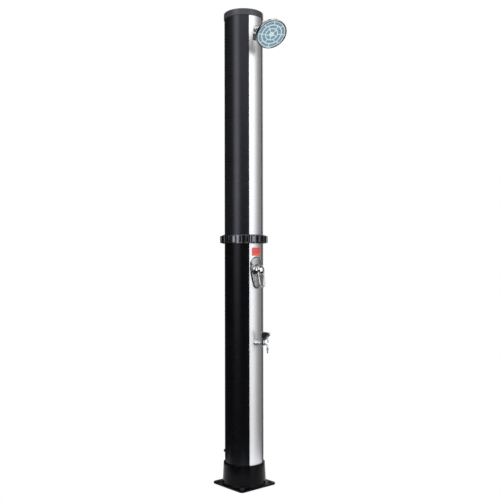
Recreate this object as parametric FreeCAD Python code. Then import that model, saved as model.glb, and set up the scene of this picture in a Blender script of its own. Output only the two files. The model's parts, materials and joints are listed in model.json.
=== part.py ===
import FreeCAD, Part
import math
import os

# Outdoor shower post: a two-part round tank on a bolted foot, with a trim strip, a mixer, a foot tap
# and a shower head on its front. Millimetres, +Z up, front towards -Y.
# Origin: on the tank's axis, at the underside of the foot.

Vector = FreeCAD.Vector
UP = Vector(0, 0, 1)
FRONT = Vector(0, -1, 0)
REAR = Vector(0, 1, 0)

# Overall and tank
OVERALL_HEIGHT = 2170.0
TANK_RADIUS = 89.0
TANK_WALL = 4.0
UNION_Z = 1125.0
GLUE_GAP = 0.1
RUN_GAP = 0.06
OPEN_GAP = 0.5

# Foot
FLANGE_MARGIN = 5.0
FLANGE_CORNER = 16.0
FLANGE_THICK = 8.0
FLANGE_RELIEF = 4.0
FLANGE_RIM = 7.0
FOOT_RIB = 5.0
BOLT_EDGE = 21.0
BOLT_HOLE_RADIUS = 5.5
BOLT_BOSS_RADIUS = 11.5
BOLT_RIM_HEIGHT = 3.0
SOCKET_HEIGHT = 104.0
SOCKET_WALL = 6.0
SOCKET_SPREAD = 5.0
SOCKET_FILLET_OUT = 3.0
SOCKET_FILLET_UP = 10.0
SEAT_HEIGHT = 12.0
SEAT_WIDTH = 9.0
FOOT_RADIUS = TANK_RADIUS + SOCKET_WALL + SOCKET_SPREAD
FLANGE_SIDE = 2 * (FOOT_RADIUS + FLANGE_MARGIN)
BOLT_SPACING = FLANGE_SIDE - 2 * BOLT_EDGE

# Trim strip and the channel that it lies in
STRIP_HALF_ANGLE = 24.7
STRIP_THICK = 0.8
STRIP_EDGE_GAP = 0.15
LIP_WIDTH = 2.6
LIP_PROUD = 1.0
LIP_END_GAP = 2.0

# End plugs and the top cap
PLUG_THICK = 6.0
PLUG_SKIRT = 26.0
PLUG_WALL = 5.0
PLUG_INSET = 10.0
GROOVE_RISE = 5.0
SEAL_HEIGHT = 4.0
SEAL_DEPTH = 2.5
CAP_HEIGHT = 30.0
CAP_WALL = 2.5
CAP_EDGE = 6.0
CAP_TOP_WALL = 4.0

# Union between the two tank tubes
RING_HEIGHT = 40.0
RING_WALL = 5.2
RING_TOP_LIP = 5.5
LUG_COUNT = 22
LUG_REACH = 11.0
LUG_WIDTH = 14.0
LUG_HEIGHT = 33.5
LUG_RISE = 2.5
LUG_CHAMFER = 3.0
COUPLING_WALL = 4.8
COUPLING_LIP = 2.0
COUPLING_TUCK = 1.0
FACE_SEAL_THICK = 2.0
SPIGOT_LENGTH = 60.0
SPIGOT_WALL = 4.0
COUPLING_RADIUS = TANK_RADIUS + COUPLING_WALL
RING_RADIUS = COUPLING_RADIUS + RING_WALL
LUG_TIP_RADIUS = RING_RADIUS + LUG_REACH

# Rear hose inlet
INLET_Z = SOCKET_HEIGHT + 21.0
INLET_SHANK_RADIUS = 11.0
INLET_HEX = 30.0
INLET_HEX_LENGTH = 10.0
INLET_NOSE_RADIUS = 8.0
INLET_NOSE_LENGTH = 22.0
INLET_REACH = 55.0
INLET_BORE = 3.0
INLET_DRAIN_RADIUS = 2.0
GASKET_THICK = 2.0
NUT_THICK = 7.0

# Water hoses inside the tank
HOSE_RADIUS = 6.5
HOSE_BORE = 4.5
NIPPLE_LENGTH = 20.0
NIPPLE_COLLAR = 6.0
NIPPLE_ROOT = 10.0
HOSE_STRAIGHT = 40.0
HOSE_STEP = 32.0

# Mixer on the front
MIXER_Z = 983.0
MIXER_PIVOT_OUT = 12.5
PLATE_TOP_Z = MIXER_Z + 62.0
PLATE_BOTTOM_Z = MIXER_Z - 83.0
PLATE_SHOULDER_Z = MIXER_Z + 24.0
PLATE_WAIST_Z = MIXER_Z - 26.0
PLATE_CHIN_Z = MIXER_Z - 67.0
PLATE_SHOULDER = 34.0
PLATE_WAIST = 30.5
PLATE_CHIN = 19.5
PLATE_OUT = 6.0
PLATE_EDGE_OUT = 1.5
PLATE_ROLL = 13.0
PLATE_WALL = 3.0
MIXER_NECK_RADIUS = 19.0
MIXER_BODY_RADIUS = 24.0
MIXER_PORT_BACK = 34.0
CARTRIDGE_RADIUS = 16.0
DOME_BASE_RADIUS = 28.0
DOME_BALL_RADIUS = 24.0
DOME_MOUTH_RADIUS = 15.0
DOME_WALL = 1.8
LEVER_SHELL = 3.2
LEVER_TOP_WIDTH = 41.0
LEVER_TIP_WIDTH = 35.0
LEVER_TIP_Z = MIXER_Z - 78.0
LEVER_TOP_OUT = 27.5
LEVER_TIP_OUT = 36.5
LEVER_RAIL_WIDTH = 6.0
LEVER_RAIL_DEPTH = 7.0
LEVER_EDGE = 2.2
LEVER_HUB_DROP = 6.0
LEVER_LIFT_RELIEF = 17.0
SPINDLE_RADIUS = 3.5
PIN_RADIUS = 1.5
SCREW_OUT = 19.0
SCREW_RADIUS = 2.0

# Foot tap
TAP_Z = 654.0
TAP_ROSETTE_RADIUS = 17.0
TAP_ROSETTE_OUT = 9.0
TAP_SHANK_RADIUS = 9.0
TAP_BARREL_RADIUS = 7.0
TAP_BARREL_HEX = 20.0
TAP_PORT_RISE = 13.0
TAP_STEM_OUT = 41.0
TAP_STEM_RADIUS = 8.0
TAP_STEM_HEIGHT = 22.0
TAP_MOUTH_RADIUS = 5.5
TAP_MOUTH_DEPTH = 9.0
TAP_SPINDLE_RADIUS = 3.0
TAP_NECK_RADIUS = 4.6
TAP_BONNET_HEX = 12.0
TAP_SPOUT_OUT = 72.0
TAP_SPOUT_RADIUS = 4.0
TAP_SPOUT_BEND = 15.0
TAP_SPOUT_END_Z = TAP_Z - 21.0
TAP_SOCKET_DEPTH = 6.0
TAP_BORE = 1.6
TAP_TAIL_END_Z = TAP_Z - 40.0
TAP_TAIL_RADIUS = 3.2
TAP_COLLAR_RADIUS = 5.4
TAP_COLLAR_HEIGHT = 6.0
TAP_HANDLE_TOP_Z = TAP_Z + 54.0
TAP_HANDLE_REACH = 45.0
TAP_HANDLE_WIDTH = 15.5
TAP_HANDLE_TIP = 14.0
TAP_TAB_WIDTH = 5.0
TAP_TAB_THICK = 2.6
TAP_TAB_DROP = 22.0

# Shower arm and head
ARM_Z = OVERALL_HEIGHT - 89.0
ARM_RADIUS = 8.0
ARM_BORE = 4.0
ARM_BEND_OUT = 33.0
ARM_DROOP = 20.0
ARM_BEND_RADIUS = 30.0
ARM_ROSETTE_RADIUS = 16.5
ARM_ROSETTE_OUT = 6.0
BALL_OUT = 79.0
BALL_RADIUS = 11.0
BALL_NECK_RADIUS = 3.8
BALL_NECK_LENGTH = 17.0
SEAT_BALL_RADIUS = 13.5
SEAT_REAR_ANGLE = 71.5
SEAT_FRONT_ANGLE = 79.0
NUT_RADIUS = 17.5
NUT_LENGTH = 12.0
NUT_MOUTH_ANGLE = 54.0
NUT_FLUTES = 10
HEAD_PITCH = 46.8
HEAD_YAW = 13.5
HEAD_REACH = 50.0
HEAD_RADIUS = 71.5
HEAD_RIM = 15.0
HEAD_BEZEL = 6.0
HEAD_EDGE_ROUND = 2.4
HEAD_LEDGE = 2.0
HEAD_WALL = 2.4
FACE_RADIUS = HEAD_RADIUS - HEAD_BEZEL
FACE_GROOVE_WIDTH = 1.0
FACE_GROOVE_DEPTH = 1.6
FACE_THICK = 4.0
FACE_INSET = 2.0
CELL_DEPTH = 1.6
CELL_RIB = 4.0
CELL_CORNER = 1.6
CELL_INNER_RADII = (12.2, 30.6, 49.0)
CELL_OUTER_RADII = (26.0, 43.9, 61.0)
CELL_COUNTS = (5, 6, 8)
CELL_TURN_DEGREES = (-15.0, 9.0, 7.0)

# Places worked out from the sizes above
TANK_BORE = TANK_RADIUS - TANK_WALL
CHANNEL_RADIUS = TANK_RADIUS - STRIP_THICK - GLUE_GAP
RING_BOTTOM = UNION_Z - RING_HEIGHT / 2
RING_TOP = UNION_Z + RING_HEIGHT / 2
SEAL_BOTTOM = UNION_Z - FACE_SEAL_THICK / 2
SEAL_TOP = UNION_Z + FACE_SEAL_THICK / 2
LOWER_TUBE_TOP = SEAL_BOTTOM - COUPLING_LIP
UPPER_TUBE_BOTTOM = SEAL_TOP + COUPLING_LIP
UPPER_TUBE_TOP = OVERALL_HEIGHT - CAP_TOP_WALL - OPEN_GAP
CAP_BOTTOM = OVERALL_HEIGHT - CAP_HEIGHT
CAP_RADIUS = TANK_RADIUS + GLUE_GAP + CAP_WALL


# ---------------------------------------------------------------- shapes

def outline(steps, place):
    """Closed wire; a step is a 2-D point, or a (middle, end) pair reached by an arc."""
    edges = []
    start = steps[0]
    last = start
    for step in steps[1:] + [start]:
        if isinstance(step[0], tuple):
            middle, end = step
            edges.append(Part.Arc(place(*last), place(*middle), place(*end)).toShape())
        else:
            end = step
            if math.dist(last, end) > 1e-6:
                edges.append(Part.LineSegment(place(*last), place(*end)).toShape())
        last = end
    return Part.Wire(edges)


def turned_upright(steps):
    """Solid of revolution about the tank's axis from (radius, z) steps."""
    face = Part.Face(outline(steps, lambda radius, z: Vector(radius, 0, z)))
    return face.revolve(Vector(0, 0, 0), UP, 360)


def turned_front(steps, z):
    """Solid of revolution about a level axis; steps are (radius, distance out of the tank's front)."""
    face = Part.Face(outline(steps, lambda radius, out: Vector(radius, -(TANK_RADIUS + out), z)))
    return face.revolve(Vector(0, 0, z), FRONT, 360)


def turned_rear(steps, z):
    """The same at the rear of the tank."""
    face = Part.Face(outline(steps, lambda radius, out: Vector(radius, TANK_RADIUS + out, z)))
    return face.revolve(Vector(0, 0, z), REAR, 360)


def dome_steps(outer, inner, low, high, bands):
    """Points down an elliptic shoulder from (outer, low) to (inner, high)."""
    steps = []
    for n in range(bands + 1):
        turn = math.radians(90 * n / bands)
        steps.append((inner + (outer - inner) * math.cos(turn), low + (high - low) * math.sin(turn)))
    return steps


def ring(inner, outer, bottom, top):
    return turned_upright([(inner, bottom), (outer, bottom), (outer, top), (inner, top)])


def front_ring(inner, outer, back, front, z):
    return turned_front([(inner, back), (outer, back), (outer, front), (inner, front)], z)


def front_rod(radius, back, front, z):
    start = Vector(0, -(TANK_RADIUS + back), z)
    return Part.makeCylinder(radius, front - back, start, FRONT)


def sector(inner, outer, bottom, top, centre, half_angle):
    """Part of a ring; the angles are in degrees from the front, towards +X."""
    def place(radius, angle):
        turn = math.radians(angle)
        return Vector(radius * math.sin(turn), -radius * math.cos(turn), bottom)

    first = centre - half_angle
    last = centre + half_angle
    steps = [
        (outer, first), ((outer, centre), (outer, last)),
        (inner, last), ((inner, centre), (inner, first)),
    ]
    return Part.Face(outline(steps, place)).extrude(UP * (top - bottom))


def hexagon_rod(across_flats, start, direction, length):
    corner = across_flats / math.sqrt(3)
    wire = Part.makePolygon([
        Vector(corner * math.cos(math.radians(60 * n)), corner * math.sin(math.radians(60 * n)), 0)
        for n in range(7)
    ])
    rod = Part.Face(wire).extrude(UP * length)
    rod.Placement = FreeCAD.Placement(start, FreeCAD.Rotation(UP, direction))
    return rod


def rounded_plate(side, corner, bottom, thick):
    half = side / 2
    inner = half - corner
    bend = corner * (1 - math.cos(math.radians(45)))
    near = half - bend
    steps = [
        (-inner, -half), (inner, -half), ((near, -near), (half, -inner)),
        (half, inner), ((near, near), (inner, half)),
        (-inner, half), ((-near, near), (-half, inner)),
        (-half, -inner), ((-near, -near), (-inner, -half)),
    ]
    face = Part.Face(outline(steps, lambda x, y: Vector(x, y, bottom)))
    return face.extrude(UP * thick)


def tangent_path(points, bends):
    """Straight runs joined by tangent arcs; bends holds one radius for each inner point."""
    edges = []
    last = points[0]
    for before, corner, after, radius in zip(points, points[1:], points[2:], bends):
        incoming = (corner - before).normalize()
        outgoing = (after - corner).normalize()
        turn = incoming.getAngle(outgoing)
        reach = radius * math.tan(turn / 2)
        first = corner - incoming * reach
        second = corner + outgoing * reach
        inward = (outgoing - incoming).normalize()
        middle = corner + inward * (radius / math.cos(turn / 2) - radius)
        edges.append(Part.LineSegment(last, first).toShape())
        edges.append(Part.Arc(first, middle, second).toShape())
        last = second
    edges.append(Part.LineSegment(last, points[-1]).toShape())
    return Part.Wire(edges)


def swept_rod(path, radius):
    start = path.Vertexes[0].Point
    direction = path.Edges[0].tangentAt(path.Edges[0].FirstParameter)
    section = Part.Face(Part.Wire([Part.Circle(start, direction, radius).toShape()]))
    return path.makePipe(section)


def hose(name, points):
    """Hollow hose along a route; each bend is as large as its shorter run allows."""
    bends = []
    for before, corner, after in zip(points, points[1:], points[2:]):
        shorter = min((corner - before).Length, (after - corner).Length)
        turn = (corner - before).getAngle(after - corner)
        bends.append(0.45 * shorter / math.tan(turn / 2))
    path = tangent_path(points, bends)
    tube = swept_rod(path, HOSE_RADIUS).cut(swept_rod(path, HOSE_BORE))
    expected = math.pi * (HOSE_RADIUS ** 2 - HOSE_BORE ** 2) * path.Length
    print(name, "bends", [round(bend) for bend in bends], "volume ratio", round(tube.Volume / expected, 4))
    return tube


# ---------------------------------------------------------------- foot and tank

def base_flange():
    top_radius = TANK_RADIUS + SOCKET_WALL
    foot_radius = FOOT_RADIUS
    seat_radius = TANK_RADIUS + GLUE_GAP
    blend_middle = (foot_radius + SOCKET_FILLET_OUT * 0.2, FLANGE_THICK + SOCKET_FILLET_UP * 0.35)
    blend_end = (foot_radius - 0.6, FLANGE_THICK + SOCKET_FILLET_UP)
    socket = turned_upright([
        (TANK_BORE - SEAT_WIDTH, 0), (foot_radius, 0), (foot_radius + SOCKET_FILLET_OUT, FLANGE_THICK),
        (blend_middle, blend_end),
        (top_radius + 0.4, SOCKET_HEIGHT - 1.5), (top_radius - 1.5, SOCKET_HEIGHT),
        (seat_radius + 1.0, SOCKET_HEIGHT), (seat_radius, SOCKET_HEIGHT - 1.0),
        (seat_radius, SEAT_HEIGHT), (TANK_BORE - SEAT_WIDTH, SEAT_HEIGHT),
    ])
    plate = rounded_plate(FLANGE_SIDE, FLANGE_CORNER, 0, FLANGE_THICK)
    top_edges = [edge for edge in plate.Edges if edge.BoundBox.ZMin > FLANGE_THICK - 0.01]
    plate = plate.makeChamfer(1.2, top_edges)
    relief = rounded_plate(FLANGE_SIDE - 2 * FLANGE_RIM, FLANGE_CORNER - FLANGE_RIM / 2, 0, FLANGE_RELIEF)
    relief = relief.cut(Part.makeCylinder(foot_radius - 4, FLANGE_RELIEF))
    half = BOLT_SPACING / 2
    bolts = [Vector(x, y, 0) for x in (-half, half) for y in (-half, half)]
    bosses = [Part.makeCylinder(BOLT_BOSS_RADIUS, FLANGE_RELIEF, bolt) for bolt in bolts]
    ribs = []
    for turn in (45, 135):
        corner = Vector(-FLANGE_SIDE * 0.75, -FOOT_RIB / 2, 0)
        rib = Part.makeBox(FLANGE_SIDE * 1.5, FOOT_RIB, FLANGE_RELIEF, corner)
        ribs.append(rib.rotated(Vector(0, 0, 0), UP, turn))
    relief = relief.cut(Part.Compound(bosses)).cut(Part.Compound(ribs))
    plate = plate.cut(relief)
    plate = plate.cut(Part.makeCylinder(foot_radius - 2, FLANGE_THICK))
    rim_radius = BOLT_BOSS_RADIUS - 1.5
    rim_base = UP * (FLANGE_THICK - 1)
    rims = [Part.makeCylinder(rim_radius, BOLT_RIM_HEIGHT + 1, bolt + rim_base) for bolt in bolts]
    holes = [Part.makeCylinder(BOLT_HOLE_RADIUS, 40, bolt) for bolt in bolts]
    sinks = [Part.makeCylinder(BOLT_BOSS_RADIUS - 3.5, 20, bolt + UP * FLANGE_THICK) for bolt in bolts]
    foot = plate.fuse([socket] + rims).removeSplitter()
    return foot.cut(Part.Compound(sinks)).cut(Part.Compound(holes))


def trim_lips(bottom, top):
    half_width = math.degrees(LIP_WIDTH / TANK_RADIUS) / 2
    edge = STRIP_HALF_ANGLE + STRIP_EDGE_GAP + half_width
    outer = TANK_RADIUS + LIP_PROUD
    inner = TANK_RADIUS - TANK_WALL / 2
    return [sector(inner, outer, bottom, top, side * edge, half_width) for side in (-1, 1)]


def tank_tube(bottom, top, lip_bottom, lip_top, openings):
    tube = ring(TANK_BORE, TANK_RADIUS, bottom, top)
    half_angle = STRIP_HALF_ANGLE + STRIP_EDGE_GAP
    channel = sector(CHANNEL_RADIUS, TANK_RADIUS + 5, bottom - 1, top + 1, 0, half_angle)
    tube = tube.cut(channel)
    tube = tube.fuse(trim_lips(lip_bottom + LIP_END_GAP, lip_top - LIP_END_GAP))
    return tube.cut(openings)


def trim_strip(bottom, top, openings):
    inner = CHANNEL_RADIUS + GLUE_GAP / 2
    strip = sector(inner, inner + STRIP_THICK, bottom, top, 0, STRIP_HALF_ANGLE)
    return strip.cut(openings)


def front_opening(radius, z):
    return front_rod(radius, -TANK_WALL * 2, TANK_WALL * 2, z)


def rear_opening(radius, z):
    return Part.makeCylinder(radius, TANK_WALL * 4, Vector(0, TANK_RADIUS - TANK_WALL * 2, z), REAR)


def tank_plug(base):
    """Cup that closes a tube, its floor at the height base and its ring seal low on its skirt."""
    outer = TANK_BORE - GLUE_GAP
    floor = base + PLUG_THICK
    end = base + PLUG_SKIRT
    groove_low = base + GROOVE_RISE
    groove_high = groove_low + SEAL_HEIGHT
    return turned_upright([
        (0, base), (outer - 1, base), (outer, base + 1), (outer, groove_low),
        (outer - SEAL_DEPTH, groove_low), (outer - SEAL_DEPTH, groove_high), (outer, groove_high),
        (outer, end), (outer - PLUG_WALL, end), (outer - PLUG_WALL, floor), (0, floor),
    ])


def plug_seal(base):
    low = base + GROOVE_RISE + GLUE_GAP
    high = base + GROOVE_RISE + SEAL_HEIGHT - GLUE_GAP
    inner = TANK_BORE - GLUE_GAP - SEAL_DEPTH
    return ring(inner + GLUE_GAP / 2, TANK_BORE - GLUE_GAP / 4, low, high)


def top_cap():
    inner = TANK_RADIUS + GLUE_GAP
    ceiling = OVERALL_HEIGHT - CAP_TOP_WALL
    bend = CAP_EDGE * (1 - math.cos(math.radians(45)))
    return turned_upright([
        (0, OVERALL_HEIGHT), (CAP_RADIUS - CAP_EDGE, OVERALL_HEIGHT),
        ((CAP_RADIUS - bend, OVERALL_HEIGHT - bend), (CAP_RADIUS, OVERALL_HEIGHT - CAP_EDGE)),
        (CAP_RADIUS, CAP_BOTTOM + 1), (CAP_RADIUS - 1, CAP_BOTTOM), (inner, CAP_BOTTOM),
        (inner, ceiling), (0, ceiling),
    ])


# ---------------------------------------------------------------- union

def union_ring():
    thread = COUPLING_RADIUS + GLUE_GAP * 2
    lip_bottom = RING_TOP - RING_TOP_LIP
    lip_radius = TANK_RADIUS + OPEN_GAP
    body = turned_upright([
        (thread + 1, RING_BOTTOM), (RING_RADIUS - 1, RING_BOTTOM), (RING_RADIUS, RING_BOTTOM + 1),
        (RING_RADIUS, RING_TOP - 2), (RING_RADIUS - 2, RING_TOP), (lip_radius + 1, RING_TOP),
        (lip_radius, RING_TOP - 1), (lip_radius, lip_bottom), (thread, lip_bottom),
        (thread, RING_BOTTOM + 1),
    ])
    root = RING_RADIUS - 1.5
    low = RING_BOTTOM + LUG_RISE
    high = low + LUG_HEIGHT
    side = [
        (root, low), (LUG_TIP_RADIUS - LUG_CHAMFER, low), (LUG_TIP_RADIUS, low + LUG_CHAMFER),
        (LUG_TIP_RADIUS, high - LUG_CHAMFER), (LUG_TIP_RADIUS - LUG_CHAMFER, high), (root, high),
    ]
    face = Part.Face(outline(side, lambda radius, z: Vector(radius, -LUG_WIDTH / 2, z)))
    lug = face.extrude(Vector(0, LUG_WIDTH, 0))
    tip_edges = [edge for edge in lug.Edges
                 if edge.BoundBox.XMin > LUG_TIP_RADIUS - 0.01 and edge.BoundBox.ZLength > LUG_HEIGHT / 2]
    lug = lug.makeChamfer(2.0, tip_edges)
    lugs = [lug.rotated(Vector(0, 0, 0), UP, -90 + n * 360 / LUG_COUNT) for n in range(LUG_COUNT)]
    return body.fuse(lugs)


def lower_coupling():
    inner = TANK_RADIUS + GLUE_GAP
    return turned_upright([
        (inner, RING_BOTTOM + COUPLING_TUCK), (COUPLING_RADIUS - 1, RING_BOTTOM + COUPLING_TUCK),
        (COUPLING_RADIUS, RING_BOTTOM + COUPLING_TUCK + 1), (COUPLING_RADIUS, SEAL_BOTTOM),
        (TANK_BORE, SEAL_BOTTOM), (TANK_BORE, LOWER_TUBE_TOP), (inner, LOWER_TUBE_TOP),
    ])


def upper_coupling():
    """Collar glued round the upper tube; its spigot steadies the union inside the lower tube."""
    inner = TANK_RADIUS + GLUE_GAP
    collar_top = RING_TOP - RING_TOP_LIP - GLUE_GAP
    spigot = TANK_BORE - OPEN_GAP
    return turned_upright([
        (spigot - SPIGOT_WALL, SEAL_TOP - SPIGOT_LENGTH), (spigot - 1, SEAL_TOP - SPIGOT_LENGTH),
        (spigot, SEAL_TOP - SPIGOT_LENGTH + 1), (spigot, SEAL_TOP), (COUPLING_RADIUS, SEAL_TOP),
        (COUPLING_RADIUS, collar_top), (inner, collar_top), (inner, UPPER_TUBE_BOTTOM),
        (spigot - SPIGOT_WALL, UPPER_TUBE_BOTTOM),
    ])


def union_seal():
    return ring(TANK_BORE + GLUE_GAP, COUPLING_RADIUS - 1, SEAL_BOTTOM, SEAL_TOP)


# ---------------------------------------------------------------- rear inlet

def inlet_connector():
    """Male hose connector: hexagon outside, threaded shank through the wall, nipple inside."""
    shank = INLET_SHANK_RADIUS - GLUE_GAP
    core = INLET_HEX / 2 - 1.5
    sleeve = INLET_NOSE_RADIUS + 3.5
    nose_start = INLET_REACH - INLET_NOSE_LENGTH
    inside = -TANK_WALL - NUT_THICK - 5
    body = turned_rear([
        (INLET_BORE, inside - NIPPLE_LENGTH), (HOSE_BORE - RUN_GAP, inside - NIPPLE_LENGTH),
        (HOSE_BORE - RUN_GAP, inside), (shank, inside), (shank, GASKET_THICK + 1),
        (core, GASKET_THICK + 1), (core, GASKET_THICK + INLET_HEX_LENGTH + 3),
        (sleeve, GASKET_THICK + INLET_HEX_LENGTH + 6), (sleeve, nose_start - 5),
        (INLET_NOSE_RADIUS - 2, nose_start - 5), (INLET_NOSE_RADIUS - 2, nose_start),
        (INLET_NOSE_RADIUS, nose_start), (INLET_NOSE_RADIUS, INLET_REACH - 3),
        (INLET_NOSE_RADIUS - 2, INLET_REACH), (INLET_BORE, INLET_REACH),
    ], INLET_Z)
    start = Vector(0, TANK_RADIUS + GASKET_THICK + 1, INLET_Z)
    hexagon = hexagon_rod(INLET_HEX, start, REAR, INLET_HEX_LENGTH)
    body = body.fuse(hexagon)
    bore = Part.makeCylinder(INLET_BORE, 200, Vector(0, TANK_RADIUS - 100, INLET_Z), REAR)
    drain = Part.makeCylinder(INLET_DRAIN_RADIUS, 30, Vector(0, TANK_RADIUS + inside + 3, INLET_Z - 15), UP)
    return body.cut(bore).cut(drain)


def inlet_gasket():
    flat = Part.makeCylinder(INLET_HEX / 2 + 1, GASKET_THICK + 4, Vector(0, TANK_RADIUS - 3, INLET_Z), REAR)
    hole = rear_opening(INLET_SHANK_RADIUS, INLET_Z)
    return flat.cut(ring(1, TANK_RADIUS, INLET_Z - 40, INLET_Z + 40)).cut(hole)


def inlet_backnut():
    across = 2 * INLET_SHANK_RADIUS + 8
    flat_y = TANK_BORE - across ** 2 / (5.2 * TANK_BORE) - 1.0
    nut = hexagon_rod(across, Vector(0, flat_y, INLET_Z), FRONT, NUT_THICK)
    return nut.cut(Part.makeCylinder(INLET_SHANK_RADIUS, 40, Vector(0, flat_y - 30, INLET_Z), REAR))


# ---------------------------------------------------------------- mixer

def egg_wire(inset, depth):
    """Plate outline, wide and round at the top; depth(x) is how far in front of the tank's axis it lies."""
    shoulder = (PLATE_SHOULDER - inset, PLATE_SHOULDER_Z)
    chin = (PLATE_CHIN - inset * 0.8, PLATE_CHIN_Z + inset * 0.3)
    waist = (PLATE_WAIST - inset, PLATE_WAIST_Z)
    mirrored = [(-x, z) for x, z in (shoulder, chin, waist)]
    steps = [
        mirrored[0], ((0, PLATE_TOP_Z - inset), shoulder), (waist, chin),
        ((0, PLATE_BOTTOM_Z + inset), mirrored[1]), (mirrored[2], mirrored[0]),
    ]
    edges = []
    last = steps[0]
    for middle, end in steps[1:]:
        points = [Vector(x, -depth(x), z) for x, z in (last, middle, end)]
        edges.append(Part.Arc(*points).toShape())
        last = end
    return Part.Wire(edges)


def flat_egg(inset, out):
    return egg_wire(inset, lambda x: TANK_RADIUS + out)


def wrapped_egg(inset, out):
    """The outline laid on a cylinder that is out mm larger than the tank."""
    return egg_wire(inset, lambda x: math.sqrt((TANK_RADIUS + out) ** 2 - x ** 2))


def round_body(radius, bottom, top):
    return Part.makeCylinder(radius, top - bottom, Vector(0, 0, bottom))


def mixer_plate():
    """Cover plate that wraps round the tank: rolled edge, level seat for the dome, hollow back."""
    low = PLATE_BOTTOM_Z - 20
    high = PLATE_TOP_Z + 20
    behind = -20.0
    middle_out = (PLATE_EDGE_OUT + PLATE_OUT) / 2 + 0.8
    wires = [
        flat_egg(0, behind), wrapped_egg(0, PLATE_EDGE_OUT), wrapped_egg(PLATE_ROLL * 0.35, middle_out),
        wrapped_egg(PLATE_ROLL, PLATE_OUT), flat_egg(PLATE_ROLL + 0.5, PLATE_OUT + 10),
    ]
    plate = Part.makeLoft(wires, True, True).common(round_body(TANK_RADIUS + PLATE_OUT, low, high))
    plate = plate.fuse(front_rod(DOME_BASE_RADIUS + 1, behind, PLATE_OUT, MIXER_Z))
    inset = PLATE_ROLL * 0.8
    hollow = Part.makeLoft([flat_egg(inset, behind), flat_egg(inset, PLATE_OUT + 10)], True, True)
    hollow = hollow.common(round_body(TANK_RADIUS + PLATE_OUT - PLATE_WALL, low, high))
    plate = plate.cut(hollow).cut(round_body(TANK_RADIUS + GLUE_GAP, low, high))
    return plate.cut(front_rod(MIXER_NECK_RADIUS + GLUE_GAP, behind, 20, MIXER_Z))


def mixer_ports():
    """(foot, direction) of the hose nipples of the mixer body: cold, hot and mixed."""
    y = -(TANK_RADIUS - MIXER_PORT_BACK)
    side = MIXER_BODY_RADIUS * 0.55
    drop = MIXER_BODY_RADIUS * 0.8
    return {
        "cold": (Vector(0, y, MIXER_Z - MIXER_BODY_RADIUS + 1), Vector(0, 0, -1)),
        "hot": (Vector(-side, y, MIXER_Z + drop), UP),
        "mixed": (Vector(side, y, MIXER_Z + drop), UP),
    }


def nipple(foot, direction):
    stub = Part.makeCylinder(HOSE_BORE - RUN_GAP, NIPPLE_LENGTH, foot, direction)
    root = foot - direction * NIPPLE_ROOT
    collar = Part.makeCylinder(HOSE_RADIUS + 1, NIPPLE_ROOT + NIPPLE_COLLAR, root, direction)
    return [stub, collar]


def nipple_stop(foot, direction):
    """Where a hose end meets the nipple's collar."""
    return foot + direction * (NIPPLE_COLLAR + 0.02)


def mixer_body():
    """Casting behind the tank wall; its neck comes through the wall and holds the cartridge."""
    back = -TANK_WALL - 38
    flange = -TANK_WALL - 8
    cup = CARTRIDGE_RADIUS + GLUE_GAP
    body = turned_front([
        (0, back), (MIXER_BODY_RADIUS - 4, back), (MIXER_BODY_RADIUS, back + 4), (MIXER_BODY_RADIUS, flange),
        (MIXER_NECK_RADIUS, flange), (MIXER_NECK_RADIUS, PLATE_OUT + 4), (cup, PLATE_OUT + 4),
        (cup, -TANK_WALL - 22), (0, -TANK_WALL - 22),
    ], MIXER_Z)
    fittings = []
    for foot, direction in mixer_ports().values():
        fittings += nipple(foot, direction)
    return body.fuse(fittings)


def mixer_gasket():
    """Washer between the body's flange and the round inside of the tank."""
    washer = front_ring(MIXER_NECK_RADIUS + GLUE_GAP, MIXER_BODY_RADIUS - 0.5, -TANK_WALL - 8, 5, MIXER_Z)
    inside = Part.makeCylinder(TANK_BORE, 100, Vector(0, 0, MIXER_Z - 50))
    return washer.common(inside)


def mixer_locknut():
    """Ring nut on the neck that clamps the plate, hidden under the dome."""
    outer = DOME_BALL_RADIUS - DOME_WALL - 0.8
    return front_ring(MIXER_NECK_RADIUS + GLUE_GAP, outer, PLATE_OUT + GLUE_GAP, PLATE_OUT + 3.5, MIXER_Z)


def mixer_cartridge():
    """Ceramic cartridge housing with an open mouth for the rotor."""
    back = -TANK_WALL - 22 + GLUE_GAP
    front = MIXER_PIVOT_OUT + 6
    return turned_front([
        (0, back), (CARTRIDGE_RADIUS, back), (CARTRIDGE_RADIUS, front - 2), (CARTRIDGE_RADIUS - 2, front),
        (CARTRIDGE_RADIUS - 4, front), (CARTRIDGE_RADIUS - 4, 4), (0, 4),
    ], MIXER_Z)


def mixer_dome():
    """Chrome dome round the cartridge; everything in front of the pivot stays inside one ball."""
    ball = DOME_BALL_RADIUS
    pivot = MIXER_PIVOT_OUT
    back = PLATE_OUT + GLUE_GAP
    inner = ball - DOME_WALL

    def on_ball(radius, polar):
        turn = math.radians(polar)
        return (radius * math.sin(turn), pivot + radius * math.cos(turn))

    mouth = math.degrees(math.asin(DOME_MOUTH_RADIUS / ball))
    outer_steps = [on_ball(ball, polar) for polar in (92, 72, 53, mouth)]
    inner_steps = [on_ball(inner - 0.6, polar) for polar in (mouth + 3, 60, 92)]
    return turned_front([
        (inner - 0.5, back), (DOME_BASE_RADIUS - 1, back), (DOME_BASE_RADIUS, back + 1),
        (DOME_BASE_RADIUS - 0.6, back + 2.6), (ball + 0.8, back + 4.6),
    ] + outer_steps + inner_steps + [(inner - 0.5, back + 4)], MIXER_Z)


def cross_hole(radius):
    """Level hole through the pivot, from side to side."""
    start = Vector(-20, -(TANK_RADIUS + MIXER_PIVOT_OUT), MIXER_Z)
    return Part.makeCylinder(radius, 40, start, Vector(1, 0, 0))


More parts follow.
